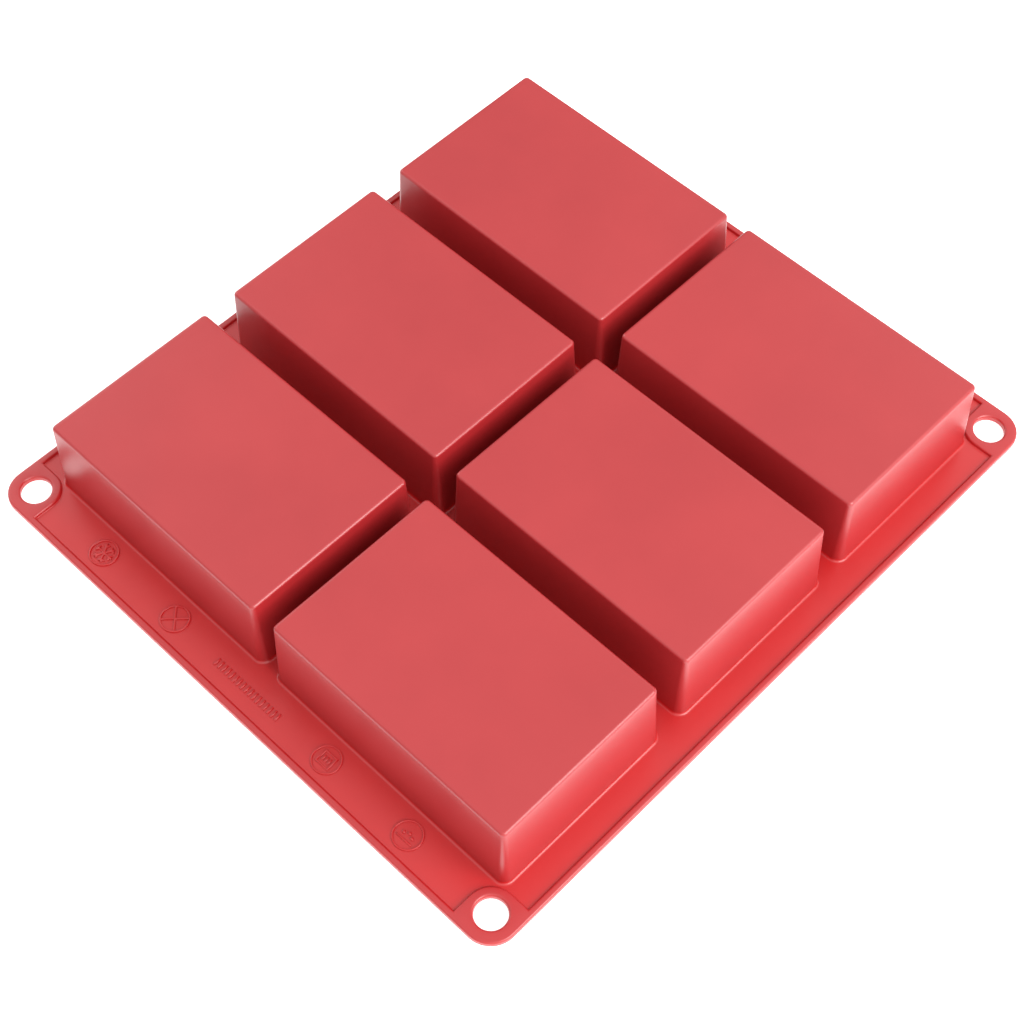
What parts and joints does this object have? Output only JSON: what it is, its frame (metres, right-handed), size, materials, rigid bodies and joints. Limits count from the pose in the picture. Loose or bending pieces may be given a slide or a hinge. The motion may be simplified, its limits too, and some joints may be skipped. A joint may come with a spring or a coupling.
{
  "type": "silicone soap mould",
  "caption": "Flexible silicone mould with rectangular bar cavities in a grid on a thin flange, with a beaded rim and a pierced hang pad at each corner.",
  "frame": {"origin": "centre of the outline, on the plane of the open side", "axes": "+Z from the open side towards the closed cup floors, X along the length of the cups, -Y towards the front edge with the raised marks"},
  "size_m": [0.1924, 0.2152, 0.0268],
  "materials": {
    "silicone": "satin"
  },
  "bodies": {
    "root": {"flange_sheet": "silicone", "rim_front": "silicone", "rim_back": "silicone", "rim_left": "silicone", "rim_right": "silicone", "pad_front_left": "silicone", "pad_front_right": "silicone", "pad_back_left": "silicone", "pad_back_right": "silicone", "cup_front_left": "silicone", "cup_front_right": "silicone", "cup_middle_left": "silicone", "cup_middle_right": "silicone", "cup_back_left": "silicone", "cup_back_right": "silicone", "mark_snowflake": "silicone", "mark_crossed": "silicone", "mark_oven": "silicone", "mark_drops": "silicone", "mark_bars": "silicone"}
  },
  "joints": []
}
